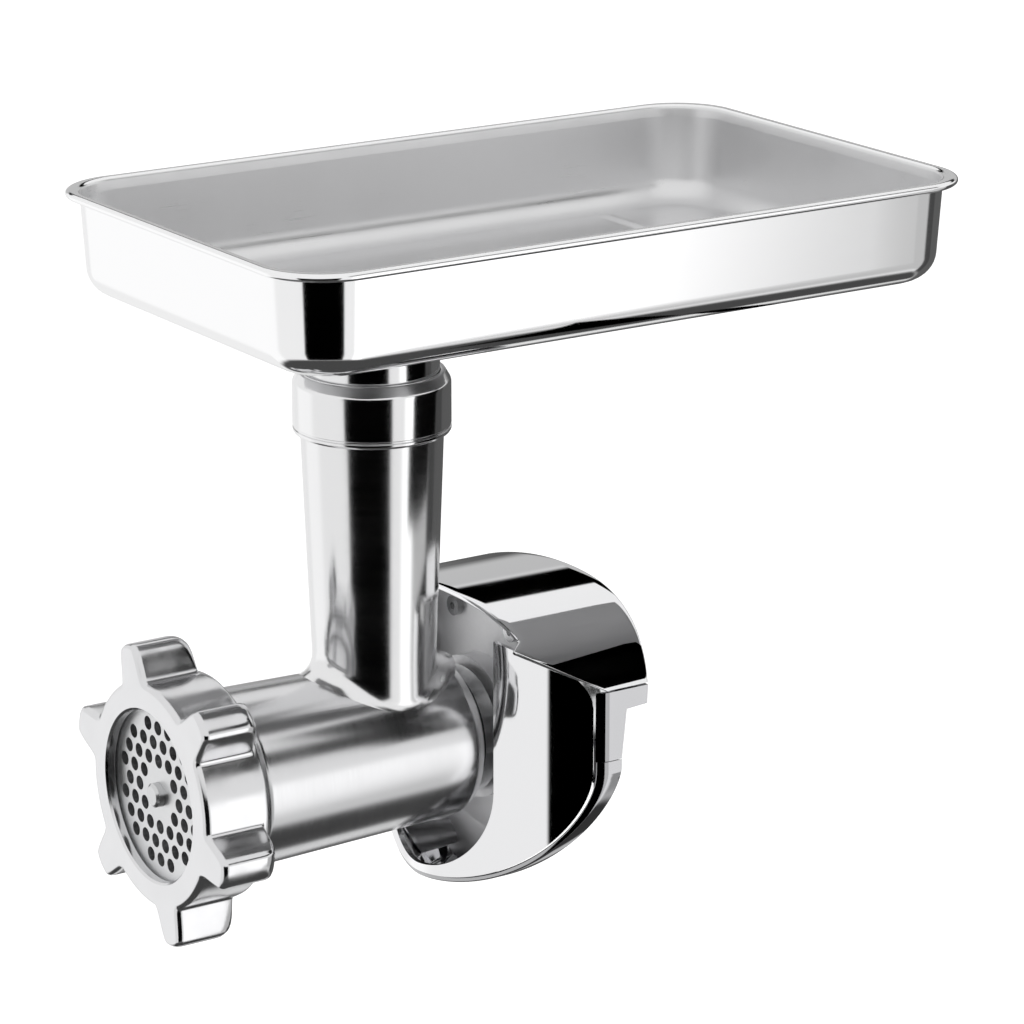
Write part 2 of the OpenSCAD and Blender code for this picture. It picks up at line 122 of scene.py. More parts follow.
def grid(bm, rows, close_u=True, close_v=False, pick=None):
    """Joins rows of points into quads. close_u closes each row, close_v joins the last row to the first,
    and pick gives the material number of each strip between two rows."""
    made = [[bm.verts.new(p) for p in row] for row in rows]
    count = len(made)
    width = len(made[0])
    for i in range(count if close_v else count - 1):
        for j in range(width if close_u else width - 1):
            a, b = made[i], made[(i + 1) % count]
            k = (j + 1) % width
            face = bm.faces.new((a[j], a[k], b[k], b[j]))
            if pick:
                face.material_index = pick(i)
    return made


def cap_ends(bm, rows):
    """Closes the two open ends of a grid."""
    bm.faces.new([row[0] for row in rows])
    bm.faces.new([row[-1] for row in reversed(rows)])


def rounded(corners, steps=6, closed=True):
    """An outline with its corners (u, v, radius) turned into arcs."""
    shared, alone = 0.49, 0.98
    out = []
    count = len(corners)
    for i, (u, v, radius) in enumerate(corners):
        here = Vector((u, v))
        if radius <= 0 or (not closed and i in (0, count - 1)):
            out.append((u, v))
            continue
        back = Vector(corners[i - 1][:2]) - here
        ahead = Vector(corners[(i + 1) % count][:2]) - here
        half = back.angle(ahead) / 2
        room = [side.length * (shared if near[2] > 0 else alone)
                for side, near in ((back, corners[i - 1]), (ahead, corners[(i + 1) % count]))]
        reach = min(radius / math.tan(half), *room)
        size = reach * math.tan(half)
        centre = here + (back.normalized() + ahead.normalized()).normalized() * (size / math.sin(half))
        start = here + back.normalized() * reach - centre
        end = here + ahead.normalized() * reach - centre
        turn = start.angle_signed(end)
        for k in range(steps + 1):
            a = -turn * k / steps
            out.append((centre.x + start.x * math.cos(a) - start.y * math.sin(a),
                        centre.y + start.x * math.sin(a) + start.y * math.cos(a)))
    return out


def around_y(r, y, a):
    """A point at radius r and angle a from the top, round the barrel's axis."""
    return Vector((r * math.sin(a), y, r * math.cos(a)))


def around_z(r, z, a):
    """A point at radius r and angle a, round the neck's axis."""
    return Vector((r * math.cos(a), NECK_Y + r * math.sin(a), z))


def ring(place, r, h, steps):
    """A row of points all the way round an axis."""
    return [place(r, h, 2 * math.pi * j / steps) for j in range(steps)]


def lathe(bm, outline, place, steps=128):
    """A closed outline of (radius, height) turned round an axis."""
    return grid(bm, [ring(place, r, h, steps) for r, h in outline], close_v=True)


def smooth(t):
    """Eases from 0 to 1."""
    return t * t * (3 - 2 * t)


def soften(piece, width, angle=40):
    """Rounds a piece's hard edges."""
    mod = piece.modifiers.new("edges", "BEVEL")
    mod.width = width
    mod.segments = 2
    mod.limit_method = "ANGLE"
    mod.angle_limit = math.radians(angle)
    mod.harden_normals = True


def cut(piece, cutter_bm):
    """Takes the cutter's volume out of the piece's mesh."""
    mesh = bpy.data.meshes.new("cutter")
    cutter_bm.to_mesh(mesh)
    cutter_bm.free()
    cutter = bpy.data.objects.new("cutter", mesh)
    bpy.context.scene.collection.objects.link(cutter)
    mod = piece.modifiers.new("cut", "BOOLEAN")
    mod.object = cutter
    mod.operation = "DIFFERENCE"
    mod.solver = "EXACT"
    bpy.context.view_layer.update()
    result = bpy.data.meshes.new_from_object(piece.evaluated_get(bpy.context.evaluated_depsgraph_get()))
    piece.modifiers.remove(mod)
    old = piece.data
    piece.data = result
    bpy.data.meshes.remove(old)
    bpy.data.objects.remove(cutter)
    bpy.data.meshes.remove(mesh)


# ---- materials --------------------------------------------------------------

def metal(name, color, rough, grain=None, rough_var=0.0, bump=0.0, mottle=0.0, mottle_scale=60.0,
          metallic=1.0):
    """A metal with fine lines, if grain gives their scale per axis (high across the lines), and
    otherwise with the slow unevenness that mottle adds."""
    mat = bpy.data.materials.new(name)
    mat.use_nodes = True
    tree = mat.node_tree
    shader = tree.nodes["Principled BSDF"]
    shader.inputs["Base Color"].default_value = (*color, 1)
    shader.inputs["Metallic"].default_value = metallic
    place = tree.nodes.new("ShaderNodeTexCoord")
    slow = tree.nodes.new("ShaderNodeTexNoise")
    slow.inputs["Scale"].default_value = mottle_scale
    slow.inputs["Detail"].default_value = 3
    tree.links.new(place.outputs["Object"], slow.inputs["Vector"])
    source, height, strength = slow.outputs["Fac"], slow.outputs["Fac"], mottle
    noise_from, noise_to = 0.35, 0.65
    if grain:
        stretch = tree.nodes.new("ShaderNodeMapping")
        stretch.inputs["Scale"].default_value = grain
        fine = tree.nodes.new("ShaderNodeTexNoise")
        fine.inputs["Scale"].default_value = 1
        fine.inputs["Detail"].default_value = 6
        fine.inputs["Roughness"].default_value = 0.65
        tree.links.new(place.outputs["Object"], stretch.inputs["Vector"])
        tree.links.new(stretch.outputs["Vector"], fine.inputs["Vector"])
        both = tree.nodes.new("ShaderNodeMix")
        both.data_type = "FLOAT"
        both.inputs["Factor"].default_value = 0.35
        tree.links.new(fine.outputs["Fac"], both.inputs["A"])
        tree.links.new(slow.outputs["Fac"], both.inputs["B"])
        source, height, strength = both.outputs["Result"], fine.outputs["Fac"], bump
        noise_from, noise_to = 0.3, 0.7
    spread = tree.nodes.new("ShaderNodeMapRange")
    spread.inputs["From Min"].default_value = noise_from
    spread.inputs["From Max"].default_value = noise_to
    spread.inputs["To Min"].default_value = max(0.0, rough - rough_var)
    spread.inputs["To Max"].default_value = rough + rough_var
    tree.links.new(source, spread.inputs["Value"])
    tree.links.new(spread.outputs["Result"], shader.inputs["Roughness"])
    if strength:
        relief = tree.nodes.new("ShaderNodeBump")
        relief.inputs["Strength"].default_value = strength
        relief.inputs["Distance"].default_value = 0.1 * MM
        tree.links.new(height, relief.inputs["Height"])
        tree.links.new(relief.outputs["Normal"], shader.inputs["Normal"])
    return mat


# noise scale across the brushed lines and along them
LINE = 2600.0
SOFT = 40.0
ALONG_Y = (LINE, SOFT, LINE)
ROUND_Z = (SOFT, SOFT, LINE)
ROUND_Y = (SOFT, LINE, SOFT)
chrome = metal("chrome", (0.9, 0.9, 0.91), 0.035, rough_var=0.015, mottle_scale=25)
polished = metal("polished", (0.86, 0.86, 0.865), 0.13, grain=ROUND_Z, rough_var=0.04, bump=0.05)
chrome_side = metal("chrome_side", (0.46, 0.46, 0.47), 0.08, rough_var=0.02, mottle_scale=25)
plate_cast = metal("plate_cast", (0.85, 0.85, 0.86), 0.5, rough_var=0.06, mottle=0.25, mottle_scale=700)
polished_nut = metal("polished_nut", (0.76, 0.76, 0.77), 0.17, rough_var=0.05, mottle=0.25, mottle_scale=90)
satin = metal("satin", (0.76, 0.76, 0.77), 0.2, grain=ROUND_Y, rough_var=0.05, bump=0.03)
neck_metal = metal("neck_metal", (0.85, 0.85, 0.855), 0.17, grain=ROUND_Z, rough_var=0.05, bump=0.04)
tray_out = metal("tray_out", (0.93, 0.93, 0.935), 0.1, grain=ROUND_Z, rough_var=0.03, bump=0.03)
tray_under = metal("tray_under", (0.85, 0.85, 0.86), 0.5, grain=ALONG_Y, rough_var=0.08, bump=0.1)
tray_in = metal("tray_in", (0.78, 0.78, 0.785), 0.34, grain=(LINE, SOFT / 2, LINE), rough_var=0.09,
                bump=0.12)
ground = metal("ground_plate", (0.74, 0.745, 0.75), 0.36, grain=(900, SOFT, 900), rough_var=0.08, bump=0.1)
machined = metal("machined", (0.66, 0.665, 0.67), 0.24, grain=ROUND_Y, rough_var=0.06, bump=0.08)
knife_metal = metal("knife_metal", (0.68, 0.68, 0.69), 0.22, grain=(LINE, SOFT, SOFT), rough_var=0.06,
                    bump=0.08)
cast = metal("cast", (0.62, 0.62, 0.63), 0.42, rough_var=0.08, mottle=0.5, mottle_scale=700)
bronze = metal("bronze", (0.6, 0.42, 0.2), 0.4, rough_var=0.08, mottle=0.4, mottle_scale=900)
rubber = metal("rubber", (0.02, 0.02, 0.02), 0.6, rough_var=0.08, mottle=0.3, mottle_scale=800,
               metallic=0.0)
plastic = metal("plastic", (0.8, 0.79, 0.74), 0.42, rough_var=0.06, mottle=0.2, mottle_scale=500,
                metallic=0.0)


# ---- tray -------------------------------------------------------------------

def build_tray():
    """The pan as one closed skin: its outside, the rolled rim, its inside and the hole over the spigot."""
    rim_w, draft = 3.4 * MM, 2 * MM
    corner = 21.5 * MM
    tighten = 0.9
    cy, half_y = (TRAY_Y0 + TRAY_Y1) / 2, (TRAY_Y1 - TRAY_Y0) / 2
    arc_steps, side_steps = 24, 12
    turns = [(1, 1, 0), (-1, 1, 90), (-1, -1, 180), (1, -1, 270)]
    loop = []
    for q in range(4):
        loop += [(q, 0, turns[q][2] + 90 * k / arc_steps) for k in range(arc_steps)]
        loop += [(q, k / side_steps, turns[q][2] + 90) for k in range(side_steps)]

    def edge(j, d):
        """The point of the rounded outline drawn in by d at loop place j."""
        q, t, angle = loop[j]
        r = corner - tighten * max(0.0, d - rim_w)
        a = math.radians(angle)
        here, there = [Vector((turns[n % 4][0] * (TRAY_X - d - r), cy + turns[n % 4][1] * (half_y - d - r)))
                       for n in (q, q + 1)]
        return here.lerp(there, t) + r * Vector((math.cos(a), math.sin(a)))

    lip = 2.6 * MM
    inner_d = rim_w + SHEET
    floor_d = 21 * MM
    section = rounded([
        (floor_d, TRAY_Z0, 0), (rim_w + draft, TRAY_Z0, 9.5 * MM), (rim_w, TRAY_Z1 - 1.6 * MM, 0.6 * MM),
        (2.7 * MM, TRAY_Z1 - 1.5 * MM, 0.3 * MM), (2.5 * MM, TRAY_Z1 - lip, 0.4 * MM),
        (0, TRAY_Z1 - lip, 1.25 * MM), (0, TRAY_Z1, 1.3 * MM), (inner_d - 0.6 * MM, TRAY_Z1, 1.6 * MM),
        (inner_d, TRAY_Z1 - 4 * MM, 2 * MM), (rim_w + draft + SHEET, TRAY_Z0 + SHEET, 9 * MM),
        (floor_d, TRAY_Z0 + SHEET, 0)], steps=10, closed=False)
    hole = Vector((0, NECK_Y))
    hole_r = SPIGOT_R - SPIGOT_WALL
    rings = 14

    def floor_row(z, t):
        row = []
        for j in range(len(loop)):
            far = edge(j, floor_d)
            near = hole + (far - hole).normalized() * hole_r
            p = far.lerp(near, t)
            row.append((p.x, p.y, z))
        return row

    rows = [floor_row(TRAY_Z0, 1 - k / rings) for k in range(rings)]
    under_end = rings + 3
    for d, z in section:
        rows.append([(*edge(j, d), z) for j in range(len(loop))])
    rows += [floor_row(TRAY_Z0 + SHEET, (k + 1) / rings) for k in range(rings)]
    rim_top = rings + max(i for i, (d, z) in enumerate(section) if z > TRAY_Z1 - 0.02 * MM)
    inside_start = rim_top + 5
    outside, inside, under = range(3)

    def finish_of(i):
        if i >= inside_start:
            return inside
        return under if i < under_end else outside

    bm = bmesh.new()
    grid(bm, rows, close_v=True, pick=finish_of)
    finish_mesh("feed_tray", bm, "tray", ["tray_pan"], angle=60,
                materials=[tray_out, tray_in, tray_under])
    build_floor_step(TRAY_X - rim_w - 12 * MM)


def build_floor_step(half_x):
    """The raised step pressed across the pan's floor near its rear end."""
    y0, y1 = NECK_Y + 131 * MM, NECK_Y + 138 * MM
    high, sunk, thick = 1.2 * MM, 0.05 * MM, 0.3 * MM
    ramp, end_ramp = 0.42, 4 * MM
    cols, lines = 60, 16

    def swell(t):
        return smooth(min(1.0, min(t, 1 - t) / ramp))

    bm = bmesh.new()
    rows = []
    for i in range(lines + 1):
        v = i / lines
        row = []
        for j in range(cols + 1):
            u = j / cols
            ends = min(1.0, min(u, 1 - u) * 2 * half_x / end_ramp)
            row.append((-half_x + 2 * half_x * u, y0 + (y1 - y0) * v,
                        TRAY_Z0 + SHEET - sunk + high * swell(v) * smooth(ends)))
        rows.append(row)
    grid(bm, rows, close_u=False)
    bmesh.ops.solidify(bm, geom=list(bm.faces), thickness=thick)
    finish_mesh("floor_step", bm, "tray", angle=60, materials=[tray_in])


def build_spigot():
    """The tube under the pan, with the flange that holds it to the floor."""
    bm = bmesh.new()
    flange_r = SPIGOT_R + 6 * MM
    flange_z = TRAY_Z0 - 1.2 * MM
    r_in = SPIGOT_R - SPIGOT_WALL
    outline = rounded([
        (r_in, SPIGOT_Z0, 0.4 * MM), (SPIGOT_R, SPIGOT_Z0, 0.5 * MM), (SPIGOT_R, flange_z, 1.5 * MM),
        (flange_r, flange_z, 0.5 * MM), (flange_r, TRAY_Z0, 0.3 * MM), (r_in, TRAY_Z0, 0.3 * MM)])
    lathe(bm, outline, around_z)
    finish_mesh("spigot", bm, "tray", ["tray_spigot"], materials=[polished])


# ---- barrel, neck and collar -------------------------------------------------

def barrel_radius(y):
    """The barrel narrows evenly from its mouth to its rear shoulder."""
    front = MOUTH_Y + 1 * MM
    t = (y - front) / (SHOULDER_Y - front)
    return BARREL_FRONT + (BARREL_REAR - BARREL_FRONT) * t


def build_barrel():
    """The barrel with a helical thread at its mouth, the plate's seat, the bore and the feed opening."""
    root, crest_r = THREAD_R - 0.9 * MM, THREAD_R - 0.02 * MM
    pitch = 4 * MM
    crest_half, flank = 0.34, 0.16
    thread_end = -110 * MM
    thread_stop = thread_end - 1 * MM
    seat_r, seat_y = PLATE_R + 0.15 * MM, -114 * MM
    wall_y = BARREL_Y1 - 6 * MM
    shaft_r = 12.5 * MM
    behind = rounded([
        (root, thread_stop, 0), (root, thread_end, 1.2 * MM),
        (BARREL_FRONT + 0.3 * MM, thread_end + 5.5 * MM, 4 * MM), (BARREL_REAR, SHOULDER_Y, 2.5 * MM),
        (BARREL_REAR - 1.75 * MM, -22 * MM, 1 * MM), (BARREL_REAR - 5.6 * MM, BARREL_Y1, 0.6 * MM),
        (shaft_r, BARREL_Y1, 0.3 * MM), (shaft_r, wall_y, 0.3 * MM), (BARREL_BORE, wall_y, 1.5 * MM),
        (BARREL_BORE, seat_y, 0.4 * MM), (seat_r, seat_y, 0.4 * MM), (seat_r, MOUTH_Y, 0.5 * MM),
        (root, MOUTH_Y, 0)], closed=False)
    steps = 144
    step_y = 0.4 * MM
    rows = []
    for i in range(int((thread_stop - MOUTH_Y) / step_y)):
        y = MOUTH_Y + i * step_y
        run_in = (y - MOUTH_Y - 0.8 * MM) / (1.5 * MM)
        run_out = (thread_end - 2.5 * MM - y) / (2 * MM)
        fade = max(0.0, min(1.0, run_in, run_out))
        row = []
        for j in range(steps):
            phase = (y / pitch - j / steps) % 1.0
            crest = max(0.0, min(1.0, (crest_half - abs(phase - 0.5)) / flank))
            row.append(around_y(root + (crest_r - root) * crest * fade, y, 2 * math.pi * j / steps))
        rows.append(row)
    rows += [ring(around_y, r, y, steps) for r, y in behind[:-1]]
    bm = bmesh.new()
    grid(bm, rows, close_v=True)
    piece = finish_mesh("barrel_shell", bm, "head", ["barrel"], materials=[satin])
    opening_r = FEED_R + 0.6 * MM
    cutter = bmesh.new()
    bmesh.ops.create_cone(cutter, cap_ends=True, segments=96, radius1=opening_r, radius2=opening_r,
                          depth=40 * MM)
    bmesh.ops.translate(cutter, verts=cutter.verts, vec=(0, NECK_Y, 25 * MM))
    cut(piece, cutter)
    piece.data.shade_smooth()
    piece.data.set_sharp_from_angle(angle=math.radians(30))


def build_neck():
    """The tapered neck, its weld fillet rolled round the barrel, and its bore."""
    fillet = 8 * MM
    overlap = 0.05 * MM
    steps, arc = 160, 12
    low_z = 32 * MM
    rows = [[] for _ in range(arc + 1)]
    tops = []
    for j in range(steps):
        a = 2 * math.pi * j / steps
        out = Vector((math.cos(a), math.sin(a), 0))
        reach = NECK_LOW + fillet
        cx, cy = reach * out.x, NECK_Y + reach * out.y
        rolled = barrel_radius(cy) + fillet
        cz = math.sqrt(rolled ** 2 - cx * cx)
        centre = Vector((cx, cy, cz))
        to_barrel = -Vector((cx, 0, cz)) / rolled
        turn = (-out).angle(to_barrel)
        for k in range(arc + 1):
            t = k / arc
            way = (to_barrel * math.sin((1 - t) * turn) - out * math.sin(t * turn)) / math.sin(turn)
            rows[k].append(centre + way * (fillet + (overlap if k == 0 else 0)))
        tops.append(cz)
    top = COLLAR_Z0 + 3 * MM
    lines = 16
    for i in range(1, lines + 1):
        row = []
        for j in range(steps):
            z = tops[j] + (top - tops[j]) * i / lines
            share = max(0.0, (z - low_z) / (COLLAR_Z0 - low_z))
            row.append(around_z(NECK_LOW + (NECK_TOP - NECK_LOW) * share, z, 2 * math.pi * j / steps))
        rows.append(row)
    inside_collar = NECK_TOP - 0.4 * MM
    bore_z = NECK_Z1 - 20 * MM
    for r, z in rounded([(inside_collar, top, 0), (inside_collar, NECK_Z1, 0.5 * MM),
                         (FEED_R, NECK_Z1, 1.2 * MM), (FEED_R, bore_z, 0)], closed=False):
        rows.append(ring(around_z, r, z, steps))
    foot_lines = 6
    for i in range(foot_lines):
        row = []
        for j in range(steps):
            a = 2 * math.pi * j / steps
            x = FEED_R * math.cos(a)
            foot = math.sqrt(BARREL_BORE ** 2 - x * x) - 0.02 * MM
            row.append(around_z(FEED_R, bore_z + (foot - bore_z) * (i + 1) / foot_lines, a))
        rows.append(row)
    bm = bmesh.new()
    grid(bm, rows, close_v=True)
    finish_mesh("neck_shell", bm, "head", ["feed_neck"], angle=50, materials=[neck_metal])


def build_collar():
    """The collar, with a bead at its foot and a rounded shoulder at its top."""
    groove_z = COLLAR_Z0 + 1.6 * MM
    groove_r = COLLAR_R - 0.35 * MM
    neck_side, spigot_side = SPIGOT_R + 0.6 * MM, SPIGOT_R + 0.1 * MM
    bm = bmesh.new()
    outline = rounded([
        (neck_side, COLLAR_Z0, 0.2 * MM), (COLLAR_R - 0.5 * MM, COLLAR_Z0, 0.5 * MM),
        (COLLAR_R, COLLAR_Z0 + 0.8 * MM, 0.5 * MM), (COLLAR_R, groove_z, 0.3 * MM),
        (groove_r, groove_z + 0.2 * MM, 0.2 * MM), (groove_r, groove_z + 0.7 * MM, 0.2 * MM),
        (COLLAR_R, groove_z + 0.9 * MM, 0.3 * MM), (COLLAR_R, COLLAR_Z1 - 3.4 * MM, 3 * MM),
        (COLLAR_R - 2 * MM, COLLAR_Z1, 0.7 * MM), (spigot_side, COLLAR_Z1, 0.5 * MM),
        (spigot_side, NECK_Z1, 0.2 * MM), (neck_side, NECK_Z1, 0.2 * MM)])
    lathe(bm, outline, around_z, steps=144)
    finish_mesh("collar", bm, "head", ["neck_collar"], materials=[polished])


# ---- ring nut ---------------------------------------------------------------

def build_ring_nut():
    """The ring nut: rounded front edge, six lobes that drop off before the rear, lip and bore."""
    valley, tip = 37 * MM, 49 * MM
    tip_half, foot_half = 4.6, 13.0
    crown = 0.04
    lobes, first = 6, -15
    opening = 28 * MM
    bore = THREAD_R + 0.08 * MM

    def lobe_height(u):
        """A lobe's height from 0 to 1, at u degrees from its middle."""
        v = (abs(u) - tip_half) / (foot_half - tip_half)
        if v <= 0:
            return 1 - crown * (abs(u) / tip_half) ** 3
        if v >= 1:
            return 0.0
        return (1 - crown) * (1 + math.cos(math.pi * v)) / 2

    # degrees from a lobe's middle, from valley to tip, closest together on the flank
    half = [30, 27, 24, 21, 18, 16, 14.5, 13, 12.2, 11.4, 10.6, 9.8, 9, 8.3, 7.6, 6.9, 6.2, 5.4, 4.6,
            3.6, 2.4, 1.2]
    us = [-u for u in half] + [0] + half[:0:-1]
    angles = [math.radians(first + 360 / lobes * k + u) for k in range(lobes) for u in us]
    shape = [lobe_height(u) for _ in range(lobes) for u in us]
    count = len(angles)

    def row(a, inset, share=1.0):
        """The lobed outline at depth a, its lobes scaled by share, drawn in square to itself by inset."""
        radii = [valley + (tip - valley) * h * share for h in shape]
        pts = [Vector((r * math.sin(t), r * math.cos(t))) for r, t in zip(radii, angles)]
        out = []
        for k, p in enumerate(pts):
            along = (pts[(k + 1) % count] - pts[k - 1]).normalized()
            out.append((p.x + along.y * inset, RING_Y0 + a, p.y - along.x * inset))
        return out

    def circle(r, a):
        return [(r * math.sin(t), RING_Y0 + a, r * math.cos(t)) for t in angles]

    edge = 2.2 * MM
    lobe_len, drop = 15.4 * MM, 5 * MM
    foot = lobe_len + drop
    front_edge = []
    for k in range(9):
        b = math.radians(90 * k / 8)
        front_edge.append(row(edge * (1 - math.sin(b)), edge * (1 - math.cos(b))))
    rows = [circle(opening + 0.7 * MM, 0), circle(31 * MM, 0), circle(33 * MM, 0)] + front_edge[::-1]
    for k in range(1, 6):
        rows.append(row(edge + (lobe_len - edge) * k / 6, 0))
    for k in range(8):
        b = math.radians(90 * k / 7)
        rows.append(row(lobe_len + drop * math.sin(b), 0, 1 - drop * (1 - math.cos(b)) / (tip - valley)))
    low = 0.3
    for share in (low, 0.16, 0.06, 0.015):
        rows.append(row(foot + 0.35 * MM * (1 - share / low), 0, share))
    rows.append(row(foot + 0.6 * MM, 0, 0))
    length = RING_Y1 - RING_Y0
    base_r = valley - 0.2 * MM
    lip_back = 4 * MM
    for r, a in rounded([(base_r, foot + 0.7 * MM, 0), (base_r, length, 0.9 * MM),
                         (bore, length, 0.6 * MM), (bore, lip_back, 0.5 * MM),
                         (opening + 1.6 * MM, lip_back, 0.2 * MM), (opening, 3.2 * MM, 0.3 * MM),
                         (opening, 0, 0)], steps=4, closed=False):
        rows.append(circle(r, a))
    rows[-1] = circle(opening, 0.7 * MM)
    bm = bmesh.new()
    grid(bm, rows, close_v=True)
    finish_mesh("lobed_nut", bm, "nut", ["ring_nut"], angle=44,
                materials=[polished_nut])


# ---- hub housing ------------------------------------------------------------

# the cover bulges forward as a superellipse, the hood is one over its arch, and the slot is a circle
COVER_POWER = 1.5
BULGE = 34.3 * MM
FACE_Y = -32.7 * MM
SLOT_R = 32.8 * MM
SLOT_Z = -10.7 * MM
LOW_CZ = 0.4 * MM
CREASE_Z = 27.4 * MM
CUT_RISE = 0.54
ARCH_POWER = 2.3
ARCH_Z0 = 21.8 * MM
ARCH_T0 = 9.6
SIDE_Y = FACE_Y + BULGE
LOW_B = LOW_CZ - BAND_Z0


def cover_y(x):
    """Depth of the cover's face at x."""
    share = min(1.0, abs(x) / BAND_X)
    return FACE_Y + BULGE * (1 - (1 - share ** COVER_POWER) ** (1 / COVER_POWER))


def arch(t, d):
    """The hood's outline at angle t, drawn in by d."""
    across = math.copysign(abs(math.cos(t)) ** (2 / ARCH_POWER), math.cos(t))
    return (BAND_X - d) * across, ARCH_Z0 + (HOOD_Z1 - ARCH_Z0 - d) * math.sin(t) ** (2 / ARCH_POWER)


def build_cover():
    """The curved front sheet, with its U-shaped slot round the barrel."""
    inset = SKIN + 0.05 * MM
    under_hood = inset + 0.1 * MM
    half = BAND_X - inset

    def low(x):
        return LOW_CZ - (LOW_B - inset) * math.sqrt(max(0.0, 1 - (x / half) ** 2))

    def top(x):
        crease = CREASE_Z + CUT_RISE * (SIDE_Y - cover_y(x))
        c = min(1.0, abs(x) / (BAND_X - under_hood))
        under = ARCH_Z0 + (HOOD_Z1 - ARCH_Z0 - under_hood) * (1 - c ** ARCH_POWER) ** (1 / ARCH_POWER)
        return min(crease, max(under, ARCH_Z0))

    def beside_slot(x):
        return abs(x) >= SLOT_R - 1e-6

    split = (SLOT_Z - low(SLOT_R)) / (top(SLOT_R) - low(SLOT_R))
    lower, upper = 26, 22
    wing, crescent = 44, 56
    theta0 = math.acos((half / BAND_X) ** (COVER_POWER / 2))
    theta1 = math.acos((SLOT_R / BAND_X) ** (COVER_POWER / 2))
    right = [BAND_X * math.cos(theta1 + (theta0 - theta1) * k / wing) ** (2 / COVER_POWER)
             for k in range(wing + 1)]
    mid = [SLOT_R * math.sin(math.radians(-90 + 180 * k / crescent)) for k in range(1, crescent)]
    xs = [-x for x in reversed(right)] + mid + right
    bm = bmesh.new()

    def column(x, z0, z1, count):
        return [bm.verts.new((x, cover_y(x), z0 + (z1 - z0) * i / count)) for i in range(count + 1)]

    def join(a, b):
        for i in range(len(a) - 1):
            bm.faces.new((a[i], b[i], b[i + 1], a[i + 1]))

    bottoms, tops = [], []
    for x in xs:
        z0 = low(x)
        if beside_slot(x):
            z1 = z0 + (top(x) - z0) * split
        else:
            z1 = SLOT_Z - math.sqrt(max(0.0, SLOT_R ** 2 - x * x))
        bottoms.append(column(x, z0, z1, lower))
        tops.append(column(x, z1, top(x), upper) if beside_slot(x) else None)
    for n in range(len(xs) - 1):
        join(bottoms[n], bottoms[n + 1])
        if tops[n] and tops[n + 1] and xs[n] * xs[n + 1] > 0:
            join(tops[n], tops[n + 1])
    bmesh.ops.remove_doubles(bm, verts=bm.verts, dist=WELD_DIST)
    bmesh.ops.recalc_face_normals(bm, faces=bm.faces)
    if sum(f.normal.y * f.calc_area() for f in bm.faces) > 0:
        bmesh.ops.reverse_faces(bm, faces=bm.faces)
    piece = finish_mesh("curved_cover", bm, "head", ["front_cover"], angle=50,
                        materials=[chrome])
    thick = piece.modifiers.new("sheet", "SOLIDIFY")
    thick.thickness = 1.7 * MM
    thick.offset = -1
    soften(piece, 0.35 * MM)


def build_hood():
    """The arched hood, with a slanted front edge at each side that turns into its lip."""
    lip, back = -20.7 * MM, 17.5 * MM
    lip_bow, back_bow = 2.6 * MM, 13.1 * MM
    nose, blend = 41.2 * MM, 2 * MM
    cols, lines = 180, 18

    def bow(x):
        return 1 - (x / BAND_X) ** 2

    def slant_at(z):
        return SIDE_Y - (z - CREASE_Z) / CUT_RISE

    def front_at(x, z):
        if z < nose:
            return slant_at(z)
        lip_y = lip + lip_bow * bow(x)
        tip = slant_at(nose)
        return tip + (lip_y - tip) * smooth(min(1.0, (z - nose) / blend))

    rows = []
    r = 0.5 * MM
    rim = [(r, SKIN), (r * 0.3, SKIN - r * 0.3), (0, SKIN - r), (0, r), (r * 0.13, r * 0.5),
           (r * 0.5, r * 0.13), (r, 0)]
    for inset, d in rim:
        rows.append(("front", inset, d))
    for k in range(1, lines):
        rows.append(("run", k / lines, 0))
    for inset, d in reversed(rim):
        rows.append(("back", inset, d))
    for k in range(lines - 1, 0, -1):
        rows.append(("run", k / lines, SKIN))
    made = []
    ts = [math.radians(ARCH_T0 + (180 - 2 * ARCH_T0) * j / cols) for j in range(cols + 1)]
    for kind, value, d in rows:
        row = []
        for t in ts:
            x0, z0 = arch(t, 0)
            x, z = arch(t, d)
            y0, y1 = front_at(x0, z0), back + back_bow * bow(x0)
            if kind == "front":
                y = y0 + value
            elif kind == "back":
                y = y1 - value
            else:
                y = y0 + (y1 - y0) * value
            row.append((x, y, z))
        made.append(row)
    bm = bmesh.new()
    verts = grid(bm, made, close_u=False, close_v=True)
    cap_ends(bm, verts)
    finish_mesh("hood_shell", bm, "head", ["hood"], angle=50, materials=[chrome])


def build_band():
    """The U-shaped band round the cover's lower edge, and a short straight run up each side."""
    width = 5.6 * MM
    step = 0.6 * MM
    count = 140
    stations = []
    for k in range(count + 1):
        a = math.radians(180 + 180 * k / count)
        stations.append((math.cos(a), math.sin(a), 0))
    rise = BAND_Z1 - LOW_CZ
    stations = [(-1, 0, rise)] + stations + [(1, 0, rise)]
    r = 0.55 * MM
    arc = [(1 - math.cos(math.radians(b)), 1 - math.sin(math.radians(b))) for b in (0, 22, 45, 68, 90)]
    section = [(r * u, r * v) for u, v in arc]
    loop = [(d, w, 0) for d, w in section]
    loop += [(SKIN - d, w, 0) for d, w in reversed(section)]
    loop += [(SKIN - d, w, 1) for d, w in section]
    loop += [(d, w, 1) for d, w in reversed(section)]
    rows = []
    for d, w, at_back in loop:
        row = []
        for cx, cz, up in stations:
            x = (BAND_X - d) * cx
            z = LOW_CZ + (LOW_B - d) * cz + up
            y = cover_y(x) + step + (width - w if at_back else w)
            row.append((x, y, z))
        rows.append(row)
    bm = bmesh.new()
    verts = grid(bm, rows, close_u=False, close_v=True)
    cap_ends(bm, verts)
    finish_mesh("rim_band", bm, "head", ["lower_band"], angle=50,
                materials=[chrome_side])


